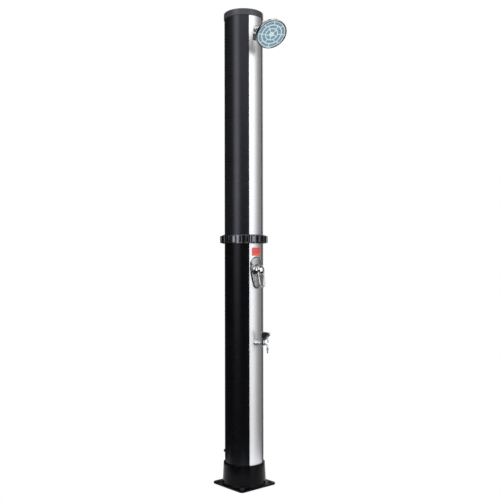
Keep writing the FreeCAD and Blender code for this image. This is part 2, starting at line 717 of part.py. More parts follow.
def mixer_rotor():
    """Turns in the cartridge's mouth and carries the spindle's pin."""
    radius = CARTRIDGE_RADIUS - 4 - RUN_GAP
    pivot = MIXER_PIVOT_OUT
    disc = front_rod(radius, 4 + GLUE_GAP * 3, pivot + 5, MIXER_Z)
    slot_width = 2 * SPINDLE_RADIUS + 2 * OPEN_GAP
    slot = Part.makeBox(slot_width, 50, 2 * radius + 2)
    slot.translate(Vector(-slot_width / 2, -(TANK_RADIUS + 50), MIXER_Z - radius - 1))
    slot = slot.common(front_rod(radius + 5, pivot - 6.5, 60, MIXER_Z))
    pin_hole = cross_hole(PIN_RADIUS)
    return disc.cut(slot).cut(pin_hole)


def mixer_pin():
    length = 2 * (CARTRIDGE_RADIUS - 4 - 1)
    start = Vector(-length / 2, -(TANK_RADIUS + MIXER_PIVOT_OUT), MIXER_Z)
    return Part.makeCylinder(PIN_RADIUS - RUN_GAP / 2, length, start, Vector(1, 0, 0))


def mixer_spindle():
    """Round stem that rocks on the pin; its flat-sided end carries the lever."""
    pivot = MIXER_PIVOT_OUT
    stem = front_rod(SPINDLE_RADIUS, pivot - 4.5, pivot + DOME_BALL_RADIUS + 1.5, MIXER_Z)
    pin_hole = cross_hole(PIN_RADIUS)
    flat = Part.makeBox(20, 12, 10, Vector(-10, -(TANK_RADIUS + pivot + 30), MIXER_Z - SPINDLE_RADIUS - 9.2))
    return stem.cut(pin_hole).cut(flat)


def lever_loop():
    """U of rounded rail that leans forward as it hangs, narrower at its tip."""
    top_half = LEVER_TOP_WIDTH / 2
    tip_half = LEVER_TIP_WIDTH / 2
    tip_centre_z = LEVER_TIP_Z + tip_half
    lean = math.atan2(LEVER_TIP_OUT - LEVER_TOP_OUT, MIXER_Z - tip_centre_z)
    length = (MIXER_Z - tip_centre_z) / math.cos(lean)
    normal = Vector(0, -math.cos(lean), math.sin(lean))

    def place(x, down):
        out = LEVER_TOP_OUT + down * math.sin(lean)
        back = normal * (-LEVER_RAIL_DEPTH / 2)
        return Vector(x, -(TANK_RADIUS + out), MIXER_Z - down * math.cos(lean)) + back

    taper = math.asin((top_half - tip_half) / length)
    inner_half = tip_half - LEVER_RAIL_WIDTH
    inner_top = top_half - LEVER_RAIL_WIDTH
    bend = length - tip_half * math.sin(taper)
    outer_side = tip_half * math.cos(taper)
    inner_side = inner_half * math.cos(taper)
    steps = [
        (-top_half, -2), (-outer_side, bend), ((0, length + tip_half), (outer_side, bend)),
        (top_half, -2), (inner_top, -2),
        (inner_side, bend), ((0, length + inner_half), (-inner_side, bend)), (-inner_top, -2),
    ]
    loop = Part.Face(outline(steps, place)).extrude(normal * LEVER_RAIL_DEPTH)
    long_edges = [edge for edge in loop.Edges
                  if edge.Length > LEVER_RAIL_DEPTH + 3 and edge.BoundBox.ZMin < MIXER_Z - 20]
    return loop.makeFillet(LEVER_EDGE, long_edges)


def mixer_lever():
    """Hub shell over the dome's upper half, a boss on the spindle and the hanging loop."""
    pivot = Vector(0, -(TANK_RADIUS + MIXER_PIVOT_OUT), MIXER_Z)
    inner = DOME_BALL_RADIUS + OPEN_GAP
    outer = inner + LEVER_SHELL
    half = LEVER_TOP_WIDTH / 2
    steps = [(-half, -LEVER_HUB_DROP), (half, -LEVER_HUB_DROP), (half, 0), ((0, half + 2), (-half, 0))]
    hub_face = Part.Face(outline(steps, lambda x, up: Vector(x, pivot.y, MIXER_Z + up)))
    hub = hub_face.extrude(FRONT * (outer + 10))
    hub = hub.common(Part.makeSphere(outer, pivot))
    lever = hub.fuse(lever_loop())
    behind = front_rod(inner, MIXER_PIVOT_OUT - 30, MIXER_PIVOT_OUT, MIXER_Z)
    relief = Part.makeBox(100, 100, 100, pivot + Vector(-50, 0, 0))
    relief = relief.rotated(pivot, Vector(1, 0, 0), LEVER_LIFT_RELIEF)
    lever = lever.cut(Part.makeSphere(inner, pivot).fuse(behind)).cut(relief)
    boss = front_rod(SPINDLE_RADIUS + 2.0, MIXER_PIVOT_OUT + 13, MIXER_PIVOT_OUT + inner + 1, MIXER_Z)
    hole_end = MIXER_PIVOT_OUT + DOME_BALL_RADIUS + 2
    hole = front_rod(SPINDLE_RADIUS + GLUE_GAP / 2, MIXER_PIVOT_OUT - 10, hole_end, MIXER_Z)
    screw_place = Vector(0, -(TANK_RADIUS + MIXER_PIVOT_OUT + SCREW_OUT), MIXER_Z - 20)
    screw_hole = Part.makeCylinder(SCREW_RADIUS, 20, screw_place, UP)
    return lever.fuse(boss).cut(hole).cut(screw_hole)


def lever_screw():
    start = Vector(0, -(TANK_RADIUS + MIXER_PIVOT_OUT + SCREW_OUT), MIXER_Z - SPINDLE_RADIUS - 2.6)
    return Part.makeCylinder(SCREW_RADIUS - GLUE_GAP / 2, 2.4, start, UP)


# ---------------------------------------------------------------- foot tap

def tap_rosette():
    radius = TAP_ROSETTE_RADIUS
    dome = turned_front([
        (TAP_SHANK_RADIUS + GLUE_GAP, -12), (radius, -12),
    ] + dome_steps(radius, TAP_SHANK_RADIUS + 4.5, 0.5, TAP_ROSETTE_OUT, 5) + [
        (TAP_SHANK_RADIUS + GLUE_GAP, TAP_ROSETTE_OUT),
    ], TAP_Z)
    rest = Part.makeCylinder(TANK_RADIUS + GLUE_GAP, 80, Vector(0, 0, TAP_Z - 40))
    return dome.cut(rest)


def tap_body():
    """Shank through the wall, barrel, upright valve chamber and a spout that turns down."""
    y = -(TANK_RADIUS + TAP_STEM_OUT)
    shank = front_rod(TAP_SHANK_RADIUS, -TANK_WALL - 12, TAP_ROSETTE_OUT + 2, TAP_Z)
    hexagon_start = Vector(0, -(TANK_RADIUS + TAP_ROSETTE_OUT + GLUE_GAP), TAP_Z)
    hexagon = hexagon_rod(TAP_BARREL_HEX, hexagon_start, FRONT, 6)
    barrel = front_rod(TAP_BARREL_RADIUS, TAP_ROSETTE_OUT, TAP_STEM_OUT, TAP_Z)
    low = TAP_Z - TAP_STEM_HEIGHT / 2
    high = TAP_Z + TAP_STEM_HEIGHT / 2
    chamber_steps = [
        (0, low), (TAP_STEM_RADIUS - 3, low), (TAP_STEM_RADIUS, low + 3), (TAP_STEM_RADIUS, high), (0, high),
    ]
    chamber = turned_upright(chamber_steps)
    chamber.translate(Vector(0, y, 0))
    bottom = Vector(0, -(TANK_RADIUS + TAP_SPOUT_OUT), TAP_SPOUT_END_Z)
    corner = Vector(0, bottom.y, TAP_Z)
    path = tangent_path([Vector(0, y - 4, TAP_Z), corner, bottom], [TAP_SPOUT_BEND])
    spout = swept_rod(path, TAP_SPOUT_RADIUS)
    body = shank.fuse([hexagon, barrel, chamber, spout])
    mouth = Part.makeCylinder(TAP_MOUTH_RADIUS, TAP_MOUTH_DEPTH + 5, Vector(0, y, high - TAP_MOUTH_DEPTH))
    nozzle = Part.makeCylinder(TAP_TAIL_RADIUS, TAP_SOCKET_DEPTH + 1, bottom - UP, UP)
    return body.cut(mouth).cut(nozzle)


def tap_gasket():
    washer = front_ring(TAP_SHANK_RADIUS + GLUE_GAP, 15, -TANK_WALL - 3.5, 5, TAP_Z)
    inside = Part.makeCylinder(TANK_BORE, 60, Vector(0, 0, TAP_Z - 30))
    return washer.common(inside)


def tap_backnut():
    """Backnut with the side ports that feed the tap and pass the water on to the mixer."""
    start = Vector(0, -(TANK_BORE - 3.5), TAP_Z)
    nut = hexagon_rod(26, start, REAR, 16)
    foot_y = start.y + 8
    fittings = nipple(Vector(0, foot_y, TAP_Z - TAP_PORT_RISE), Vector(0, 0, -1))
    fittings += nipple(Vector(0, foot_y, TAP_Z + TAP_PORT_RISE), UP)
    nut = nut.fuse(fittings)
    return nut.cut(Part.makeCylinder(TAP_SHANK_RADIUS + GLUE_GAP / 2, 8.7, start, REAR))


def tap_bonnet():
    """Nut on the valve chamber that keeps the spindle in."""
    y = -(TANK_RADIUS + TAP_STEM_OUT)
    base = TAP_Z + TAP_STEM_HEIGHT / 2
    nut = hexagon_rod(TAP_BONNET_HEX, Vector(0, y, base), UP, 3.5)
    plug = Part.makeCylinder(TAP_MOUTH_RADIUS - GLUE_GAP, 6, Vector(0, y, base - 6))
    neck = Part.makeCylinder(TAP_NECK_RADIUS, 7, Vector(0, y, base))
    hole = Part.makeCylinder(TAP_SPINDLE_RADIUS + RUN_GAP, 60, Vector(0, y, base - 30))
    return nut.fuse([plug, neck]).cut(hole)


def tap_spindle():
    y = -(TANK_RADIUS + TAP_STEM_OUT)
    low = TAP_Z + TAP_STEM_HEIGHT / 2 - TAP_MOUTH_DEPTH + GLUE_GAP
    disc = Part.makeCylinder(TAP_MOUTH_RADIUS - RUN_GAP, 2.5, Vector(0, y, low))
    stem = Part.makeCylinder(TAP_SPINDLE_RADIUS, TAP_HANDLE_TOP_Z - 6 - low, Vector(0, y, low))
    return disc.fuse(stem)


def tap_blade(base, top, half):
    """Wedge of the handle: flat top, deep rounded end, underside that slopes back to the hub."""
    reach = TAP_HANDLE_REACH
    side = [
        (2, base + 7), (TAP_STEM_RADIUS, base + 3), (reach * 0.36, base + 9), (reach * 0.62, top - 25),
        (reach - 5, top - TAP_HANDLE_TIP - 1), ((reach - 0.5, top - TAP_HANDLE_TIP + 1), (reach, top - 8)),
        ((reach - 0.5, top - 3), (reach - 5, top - 1.0)), (2, top - 0.5),
    ]
    blade = Part.Face(outline(side, lambda out, z: Vector(-half, -out, z))).extrude(Vector(2 * half, 0, 0))
    tip = half * 0.8
    plan = [(-half, 0), (-tip, reach - half), ((0, reach + 0.5), (tip, reach - half)), (half, 0)]
    plan_body = Part.Face(outline(plan, lambda x, out: Vector(x, -out, base))).extrude(UP * (top - base))
    return blade.common(plan_body)


def finger_tab(top):
    """Thin curved tongue under the blade, for a fingertip."""
    root = TAP_HANDLE_REACH * 0.62
    low = top - 24 - TAP_TAB_DROP
    thick = TAP_TAB_THICK
    side = [
        (root, top - 22), ((root + 3.2, low + 11), (root + 4.5, low)), (root + 4.5 + thick, low),
        ((root + 3.2 + thick, low + 11), (root + thick, top - 18)),
    ]
    face = Part.Face(outline(side, lambda out, z: Vector(-TAP_TAB_WIDTH / 2, -out, z)))
    return face.extrude(Vector(TAP_TAB_WIDTH, 0, 0))


def tap_handle():
    """Hub over the bonnet with a wedge lever and its finger tab."""
    y = -(TANK_RADIUS + TAP_STEM_OUT)
    top = TAP_HANDLE_TOP_Z
    base = TAP_Z + TAP_STEM_HEIGHT / 2 + 1.0
    half = TAP_HANDLE_WIDTH / 2
    bonnet_corner = TAP_BONNET_HEX / math.sqrt(3) + OPEN_GAP
    hub = turned_upright([
        (0, base), (TAP_STEM_RADIUS + 0.6, base), (TAP_STEM_RADIUS + 0.8, base + 6),
        (half, top - 8), (half - 1, top - 2), (half - 3, top), (0, top),
    ])
    handle = hub.fuse([tap_blade(base, top, half), finger_tab(top)])
    handle.translate(Vector(0, y, 0))
    cavity = turned_upright([
        (0, base - 1), (bonnet_corner, base - 1), (bonnet_corner, base + 4),
        (TAP_NECK_RADIUS + OPEN_GAP, base + 7), (TAP_NECK_RADIUS + OPEN_GAP, base + 10), (0, base + 10),
    ])
    cavity.translate(Vector(0, y, 0))
    stem_hole = Part.makeCylinder(TAP_SPINDLE_RADIUS + GLUE_GAP / 2, top - 5.8 - base, Vector(0, y, base))
    screw_hole = Part.makeCylinder(3.0, 20, Vector(0, y, top - 5))
    return handle.cut(cavity).cut(stem_hole).cut(screw_hole)


def tap_handle_screw():
    y = -(TANK_RADIUS + TAP_STEM_OUT)
    head = Part.makeCylinder(3.0 - GLUE_GAP / 2, 3.5, Vector(0, y, TAP_HANDLE_TOP_Z - 4.5))
    slot = hexagon_rod(2.5, Vector(0, y, TAP_HANDLE_TOP_Z - 3), UP, 5)
    return head.cut(slot)


def tap_tail():
    """Hose tail pressed into the spout, with two barbs."""
    y = -(TANK_RADIUS + TAP_SPOUT_OUT)
    radius = TAP_TAIL_RADIUS
    low = TAP_TAIL_END_Z
    collar = TAP_SPOUT_END_Z
    shoulder = TAP_COLLAR_RADIUS - 2
    seat = collar - GLUE_GAP
    push = collar + TAP_SOCKET_DEPTH - 1
    tail = turned_upright([
        (TAP_BORE, low), (radius - 0.8, low), (radius, low + 4.5), (radius - 0.8, low + 5),
        (radius, low + 9), (radius - 0.8, low + 9.5), (radius - 0.8, seat - TAP_COLLAR_HEIGHT),
        (shoulder, seat - TAP_COLLAR_HEIGHT), (shoulder, seat),
        (radius - GLUE_GAP / 2, seat), (radius - GLUE_GAP / 2, push), (TAP_BORE, push),
    ])
    tail.translate(Vector(0, y, 0))
    return tail


def tap_tail_ring():
    y = -(TANK_RADIUS + TAP_SPOUT_OUT)
    high = TAP_SPOUT_END_Z - GLUE_GAP
    low = high - TAP_COLLAR_HEIGHT
    inner = TAP_COLLAR_RADIUS - 2 + GLUE_GAP / 2
    collar = turned_upright([
        (inner, low), (TAP_COLLAR_RADIUS - 1, low), (TAP_COLLAR_RADIUS, low + 1),
        (TAP_COLLAR_RADIUS, high - 1), (TAP_COLLAR_RADIUS - 1, high), (inner, high),
    ])
    collar.translate(Vector(0, y, 0))
    return collar


# ---------------------------------------------------------------- shower arm and head

def arm_direction():
    droop = math.radians(ARM_DROOP)
    return Vector(0, -math.cos(droop), -math.sin(droop))


def ball_centre():
    run = (BALL_OUT - ARM_BEND_OUT) / math.cos(math.radians(ARM_DROOP))
    return Vector(0, -(TANK_RADIUS + ARM_BEND_OUT), ARM_Z) + arm_direction() * run


def shower_arm():
    """Bent arm with a shank through the wall, a hose nipple inside and the ball on its end."""
    start = Vector(0, -(TANK_BORE - 26), ARM_Z)
    corner = Vector(0, -(TANK_RADIUS + ARM_BEND_OUT), ARM_Z)
    ball = ball_centre()
    neck_start = ball - arm_direction() * BALL_NECK_LENGTH
    path = tangent_path([start, corner, neck_start], [ARM_BEND_RADIUS])
    tube = swept_rod(path, ARM_RADIUS)
    along = arm_direction()
    neck = Part.makeCylinder(BALL_NECK_RADIUS, BALL_NECK_LENGTH + 1, neck_start - along, along)
    cone = Part.makeCone(ARM_RADIUS, BALL_NECK_RADIUS, 3, neck_start - along * 0.5, along)
    sphere = Part.makeSphere(BALL_RADIUS, ball)
    elbow = Part.makeCylinder(ARM_RADIUS + 1, 2 * ARM_RADIUS, start + Vector(0, 3, -ARM_RADIUS), UP)
    fittings = nipple(start + Vector(0, 3, -ARM_RADIUS), Vector(0, 0, -1))
    arm = tube.fuse([neck, cone, sphere, elbow] + fittings)
    bore = Part.makeCylinder(BALL_NECK_RADIUS - 1.7, 40, ball - along * 20, along)
    return arm.cut(bore)


def arm_rosette():
    radius = ARM_ROSETTE_RADIUS
    hole = ARM_RADIUS + GLUE_GAP
    dome = turned_front([
        (hole, -6), (radius, -6),
    ] + dome_steps(radius, radius - 6, 1.0, ARM_ROSETTE_OUT, 4) + [(hole, ARM_ROSETTE_OUT)], ARM_Z)
    rest = Part.makeCylinder(TANK_RADIUS + GLUE_GAP, 60, Vector(0, 0, ARM_Z - 30))
    return dome.cut(rest)


def arm_gasket():
    washer = front_ring(ARM_RADIUS + GLUE_GAP, 14, -TANK_WALL - 3, 5, ARM_Z)
    inside = Part.makeCylinder(TANK_BORE, 60, Vector(0, 0, ARM_Z - 30))
    return washer.common(inside)


def arm_backnut():
    start = Vector(0, -(TANK_BORE - 3.1), ARM_Z)
    nut = hexagon_rod(24, start, REAR, NUT_THICK)
    return nut.cut(Part.makeCylinder(ARM_RADIUS + GLUE_GAP / 2, 40, start + Vector(0, -10, 0), REAR))


def head_axis():
    pitch = math.radians(HEAD_PITCH)
    yaw = math.radians(HEAD_YAW)
    return Vector(-math.sin(yaw) * math.cos(pitch), -math.cos(yaw) * math.cos(pitch), -math.sin(pitch))


def head_placement():
    """Puts a shape built about +Z, with the ball's centre at the origin, on the head's axis."""
    forward = head_axis()
    level = UP.cross(forward).normalize()
    rotation = FreeCAD.Rotation(level, forward.cross(level), forward, "ZXY")
    return FreeCAD.Placement(ball_centre(), rotation)


def on_head(shape):
    shape.Placement = head_placement()
    return shape


def on_sphere(radius, polar):
    """(radius, height) step of a point on a ball, from its rear pole."""
    return (radius * math.sin(polar), -radius * math.cos(polar))


def ball_seat():
    """Low-friction ring between the ball and the nut."""
    inner = BALL_RADIUS + RUN_GAP
    outer = SEAT_BALL_RADIUS
    rear = math.radians(SEAT_REAR_ANGLE)
    front = math.radians(SEAT_FRONT_ANGLE)
    middle = (rear + front) / 2
    half = (front - rear) / 2
    flare = inner / math.cos(half)
    steps = [
        on_sphere(outer, rear), (on_sphere(outer, middle), on_sphere(outer, front)),
        on_sphere(flare, front), on_sphere(flare, rear),
    ]
    return on_head(turned_upright(steps))


def swivel_nut():
    """Fluted nut: a spherical mouth behind the ball, a thread in front for the head's neck."""
    inner = SEAT_BALL_RADIUS + RUN_GAP
    mouth = math.radians(NUT_MOUTH_ANGLE)
    middle = (mouth + math.radians(90)) / 2
    outer = NUT_RADIUS
    thread = inner + 0.5
    front_angle = math.asin(2.8 / inner)
    rear_z = -inner * math.cos(mouth)
    steps = [
        on_sphere(inner, mouth), (outer - 4.5, rear_z), (outer - 0.5, rear_z + 5), (outer, rear_z + 6.5),
        (outer, NUT_LENGTH - 1), (outer - 1, NUT_LENGTH), (thread, NUT_LENGTH), (thread, 3.0),
        (inner * math.cos(front_angle) + 0.05, 2.8),
        ((inner, 0), (inner * math.cos(front_angle), -2.8)),
        (on_sphere(inner, middle), on_sphere(inner, mouth)),
    ]
    nut = turned_upright(steps)
    flute = Part.makeCylinder(2.2, 60, Vector(outer + 1.2, 0, -30))
    flutes = [flute.rotated(Vector(0, 0, 0), UP, n * 360 / NUT_FLUTES) for n in range(NUT_FLUTES)]
    return on_head(nut.cut(Part.Compound(flutes)))


def head_shell():
    """Bell of the shower head: neck inside the nut, flared back, straight rim."""
    neck = SEAT_BALL_RADIUS + 0.5
    seat = (BALL_RADIUS + RUN_GAP) * math.sqrt(2)
    face = HEAD_REACH
    ledge = face - FACE_INSET - FACE_THICK
    rim_start = face - HEAD_RIM
    wall = HEAD_WALL
    outer = HEAD_RADIUS
    edge = HEAD_EDGE_ROUND
    steps = [
        (seat - 3.8, 3.8), (neck, 3.8), (neck, NUT_LENGTH + 0.5), (NUT_RADIUS, NUT_LENGTH + 0.5),
        (NUT_RADIUS, NUT_LENGTH + 2), ((NUT_RADIUS + 3, NUT_LENGTH + 9), (NUT_RADIUS + 11, NUT_LENGTH + 13)),
        ((outer * 0.72, rim_start - 6.5), (outer - 2.2, rim_start - 0.6)), (outer, rim_start + 1.4),
        (outer, face - edge), ((outer - edge * 0.3, face - edge * 0.3), (outer - edge, face)),
        (FACE_RADIUS + GLUE_GAP + 1, face), (FACE_RADIUS + GLUE_GAP, face - 1),
        (FACE_RADIUS + GLUE_GAP, ledge), (FACE_RADIUS - HEAD_LEDGE, ledge),
        (FACE_RADIUS - HEAD_LEDGE, rim_start + 3), (outer * 0.7, rim_start - 5.5 + wall),
        (NUT_RADIUS + 10, NUT_LENGTH + 13.5 + wall), (NUT_RADIUS - 3, NUT_LENGTH + 9),
        (4, NUT_LENGTH + 5), (4, seat - 4),
    ]
    return on_head(turned_upright(steps))


def ring_cell(inner, outer, centre, span):
    """Rounded pocket between two radii of the spray face; angles in degrees."""
    def place(radius, angle):
        turn = math.radians(angle)
        return Vector(radius * math.cos(turn), radius * math.sin(turn), 0)

    trim_in = math.degrees(CELL_RIB / 2 / inner)
    trim_out = math.degrees(CELL_RIB / 2 / outer)
    first_in = centre - span / 2 + trim_in
    last_in = centre + span / 2 - trim_in
    first_out = centre - span / 2 + trim_out
    last_out = centre + span / 2 - trim_out
    steps = [
        (inner, first_in), (outer, first_out), ((outer, centre), (outer, last_out)),
        (inner, last_in), ((inner, centre), (inner, first_in)),
    ]
    cell = Part.Face(outline(steps, place)).extrude(UP * (CELL_DEPTH + 1))
    upright = [edge for edge in cell.Edges if edge.BoundBox.ZLength > CELL_DEPTH]
    return cell.makeFillet(CELL_CORNER, upright)


def spray_face():
    """Face plate with rings of rounded pockets round a hub."""
    top = HEAD_REACH - FACE_INSET
    plate = Part.makeCylinder(FACE_RADIUS, FACE_THICK, Vector(0, 0, top - FACE_THICK))
    cells = []
    for inner, outer, count, turn in zip(CELL_INNER_RADII, CELL_OUTER_RADII, CELL_COUNTS, CELL_TURN_DEGREES):
        span = 360 / count
        for n in range(count):
            cell = ring_cell(inner, outer, turn + (n + 0.5) * span, span)
            cell.translate(Vector(0, 0, top - CELL_DEPTH))
            cells.append(cell)
    step = ring(FACE_RADIUS - FACE_GROOVE_WIDTH, FACE_RADIUS + 1, top - FACE_GROOVE_DEPTH, top + 1)
    return on_head(plate.cut(Part.Compound(cells)).cut(step))


# ---------------------------------------------------------------- hoses

def sweep_up(start):
    """Route points that turn a level run towards the front into an upright one in equal bends."""
    points = [start]
    for degrees in (22.5, 45, 67.5):
        turn = math.radians(degrees)
        points.append(points[-1] + Vector(0, -math.cos(turn), math.sin(turn)) * HOSE_STEP)
    return points


def inner_hoses():
    down = Vector(0, 0, -1)
    ports = mixer_ports()
    inlet_y = TANK_BORE - NUT_THICK - 5
    tap_y = -(TANK_BORE - 3.5) + 8
    arm_y = -(TANK_BORE - 26) + 3
    feed_start = Vector(0, inlet_y - 0.02, INLET_Z)
    feed_end = nipple_stop(Vector(0, tap_y, TAP_Z - TAP_PORT_RISE), down)
    rise = sweep_up(feed_start + Vector(0, -HOSE_STRAIGHT, 0))
    feed = [feed_start] + rise + [
        Vector(5, rise[-1].y, INLET_Z + 200), feed_end + down * 110, feed_end,
    ]
    link_start = nipple_stop(Vector(0, tap_y, TAP_Z + TAP_PORT_RISE), UP)
    link_end = nipple_stop(*ports["cold"])
    link = [link_start, link_start + UP * 80, link_end - UP * 80, link_end]
    hot_start = nipple_stop(*ports["hot"])
    hot_top = Vector(-34, -26, ARM_Z + 4)
    hot = [
        hot_start, hot_start + UP * 120, hot_start.sub(Vector(17, -12, -400)), hot_top - UP * 245, hot_top,
    ]
    mixed_start = nipple_stop(*ports["mixed"])
    mixed_end = nipple_stop(Vector(0, arm_y, ARM_Z - ARM_RADIUS), down)
    mixed = [
        mixed_start, mixed_start + UP * 120, mixed_start + Vector(7, 9, 450),
        mixed_end - UP * 170, mixed_end,
    ]
    return {
        "cold_feed_hose": hose("cold_feed_hose", feed),
        "cold_link_hose": hose("cold_link_hose", link),
        "hot_pickup_hose": hose("hot_pickup_hose", hot),
        "shower_riser_hose": hose("shower_riser_hose", mixed),
    }


# ---------------------------------------------------------------- assembly

def build():
    mixer_hole = front_opening(MIXER_NECK_RADIUS + GLUE_GAP, MIXER_Z)
    tap_hole = front_opening(TAP_SHANK_RADIUS + GLUE_GAP, TAP_Z)
    arm_hole = front_opening(ARM_RADIUS + GLUE_GAP, ARM_Z)
    inlet_hole = rear_opening(INLET_SHANK_RADIUS, INLET_Z)
    bottom_base = SEAT_HEIGHT + GLUE_GAP
    top_base = UPPER_TUBE_TOP - PLUG_INSET - PLUG_SKIRT
    front_holes = Part.Compound([mixer_hole, tap_hole])
    lower_holes = Part.Compound([mixer_hole, tap_hole, inlet_hole])
    nodes = {
        "base_flange": base_flange(),
        "lower_tank_tube": tank_tube(SEAT_HEIGHT, LOWER_TUBE_TOP, SOCKET_HEIGHT, RING_BOTTOM, lower_holes),
        "upper_tank_tube": tank_tube(UPPER_TUBE_BOTTOM, UPPER_TUBE_TOP, RING_TOP, CAP_BOTTOM, arm_hole),
        "lower_trim_strip": trim_strip(SEAT_HEIGHT + 4, RING_BOTTOM + COUPLING_TUCK - 0.2, front_holes),
        "upper_trim_strip": trim_strip(RING_TOP - 3, UPPER_TUBE_TOP - 4, arm_hole),
        "bottom_plug": tank_plug(bottom_base),
        "bottom_plug_seal": plug_seal(bottom_base),
        "top_plug": tank_plug(top_base),
        "top_plug_seal": plug_seal(top_base),
        "top_cap": top_cap(),
        "union_ring": union_ring(),
        "lower_coupling": lower_coupling(),
        "upper_coupling": upper_coupling(),
        "union_seal": union_seal(),
        "inlet_connector": inlet_connector(),
        "inlet_gasket": inlet_gasket(),
        "inlet_backnut": inlet_backnut(),
        "mixer_plate": mixer_plate(),
        "mixer_body": mixer_body(),
        "mixer_gasket": mixer_gasket(),
        "mixer_locknut": mixer_locknut(),
        "mixer_cartridge": mixer_cartridge(),
        "mixer_dome": mixer_dome(),
        "mixer_rotor": mixer_rotor(),
        "mixer_pin": mixer_pin(),
        "mixer_spindle": mixer_spindle(),
        "mixer_lever": mixer_lever(),
        "lever_screw": lever_screw(),
        "tap_rosette": tap_rosette(),
        "tap_body": tap_body(),
        "tap_gasket": tap_gasket(),
        "tap_backnut": tap_backnut(),
        "tap_bonnet": tap_bonnet(),
        "tap_spindle": tap_spindle(),
        "tap_handle": tap_handle(),
        "tap_handle_screw": tap_handle_screw(),
        "tap_tail": tap_tail(),
        "tap_tail_ring": tap_tail_ring(),
        "shower_arm": shower_arm(),
        "arm_rosette": arm_rosette(),
        "arm_gasket": arm_gasket(),
        "arm_backnut": arm_backnut(),
        "ball_seat": ball_seat(),
        "swivel_nut": swivel_nut(),
        "head_shell": head_shell(),
        "spray_face": spray_face(),
    }
    nodes.update(inner_hoses())
    return nodes


os.makedirs("parts", exist_ok=True)
for name, shape in build().items():
    shape.exportStep("parts/" + name + ".step")
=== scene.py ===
"""Outdoor shower post: materials, bare label plates, spray nozzles, studio and camera. Metres, +Z up, front at -Y."""
import json
import math
import bpy
import bmesh
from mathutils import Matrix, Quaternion, Vector


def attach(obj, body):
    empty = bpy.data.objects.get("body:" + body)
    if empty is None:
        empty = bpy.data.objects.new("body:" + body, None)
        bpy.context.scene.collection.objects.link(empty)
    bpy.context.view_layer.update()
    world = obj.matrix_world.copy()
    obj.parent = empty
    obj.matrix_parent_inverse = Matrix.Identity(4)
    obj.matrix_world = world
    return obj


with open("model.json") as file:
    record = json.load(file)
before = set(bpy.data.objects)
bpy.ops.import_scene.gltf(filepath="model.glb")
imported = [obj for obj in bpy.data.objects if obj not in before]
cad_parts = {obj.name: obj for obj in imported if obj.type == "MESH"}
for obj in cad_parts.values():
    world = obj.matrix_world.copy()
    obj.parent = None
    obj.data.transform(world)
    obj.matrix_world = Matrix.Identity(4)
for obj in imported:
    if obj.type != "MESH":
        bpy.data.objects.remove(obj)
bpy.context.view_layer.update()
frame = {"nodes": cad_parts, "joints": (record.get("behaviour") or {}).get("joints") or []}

MM = 0.001

# Sizes that the pieces here share with the CAD model
TANK_RADIUS = 89.0 * MM
CELL_FLOOR = 46.4 * MM
CELL_ROWS = (
    # middle radius, cells, turn of the first rib in degrees, nozzles in each cell
    (19.1 * MM, 5, -15.0, 2),
    (37.2 * MM, 6, 9.0, 3),
    (55.0 * MM, 8, 7.0, 4),
)
HEAD_PITCH = math.radians(46.8)
HEAD_YAW = math.radians(13.5)

BOLT_OFFSET = 84.0 * MM
# Band round each bolt hole where the foot gets a painted highlight
BOLT_RIM_INNER = 5.0 * MM
BOLT_RIM_OUTER = 10.5 * MM
BOLT_RIM_FADE = 1.0 * MM

# Spray nozzles
NOZZLE_BASE_RADIUS = 1.5 * MM
NOZZLE_TIP_RADIUS = 0.9 * MM
NOZZLE_HEIGHT = 1.5 * MM
NOZZLE_SINK = 0.2 * MM
NOZZLE_SIDES = 12
NOZZLE_SHARE = 0.8  # of a cell's width, the part that its nozzles stand in

# Bare label plates on the trim strip; each one's width, lower and upper end
LOWER_LABEL = (53 * MM, 1.049, 1.086)
UPPER_LABEL = (37 * MM, 2.027, 2.058)
LABEL_SINK = 0.1 * MM
LABEL_THICK = 0.35 * MM
LABEL_CORNER = 2.5 * MM
LABEL_CHAMFER = 0.25 * MM
LABEL_TONE_EDGE = 0.3 * MM
LABEL_COLUMNS = 16

# Camera, fitted to the photograph
CAMERA_AZIMUTH = math.radians(-40.5)
CAMERA_DISTANCE = 3.435
CAMERA_HEIGHT = 1.035
CAMERA_FOCAL_PIXELS = 742.6
CAMERA_AIM_RIGHT = 28.0 * MM
CAMERA_PITCH = math.radians(0.68)
CAMERA_ROLL = math.radians(-0.098)
CAMERA_FAR = 50
IMAGE_SIZE = 500.0
SENSOR_WIDTH = 36.0

FLOOR_HALF = 0.42
FLOOR_GAP = 0.5 * MM
FLOOR_GLOW = 0.55

# The world: what matt surfaces see of it, what reflections see between its panels, and its front panel,
# whose brightness falls from its left edge to the right and below the horizon
DIFFUSE_LEVEL = 0.60
REFLECTED_BASE = 0.025
FRONT_PEAK = 1.40
FRONT_WIDTH = 80.0
FRONT_POWER = 1.9
FRONT_LOW_SHARE = 0.72

# Materials
COOL_SHEEN = (0.86, 0.88, 1.0, 1.0)
SHARP_ANGLE = math.radians(32)
BEVEL_SAMPLES = 6

# Sockets of the Mix node for colours
MIX_FACTOR, MIX_FIRST, MIX_SECOND, MIX_RESULT = 0, 6, 7, 2


# ---------------------------------------------------------------- material nodes

def srgb(value):
    """Linear value of an sRGB level from 0 to 255."""
    level = value / 255
    if level <= 0.04045:
        return level / 12.92
    return ((level + 0.055) / 1.055) ** 2.4


def colour(red, green, blue):
    """Linear colour with an alpha of 1, from sRGB levels."""
    return (srgb(red), srgb(green), srgb(blue), 1.0)


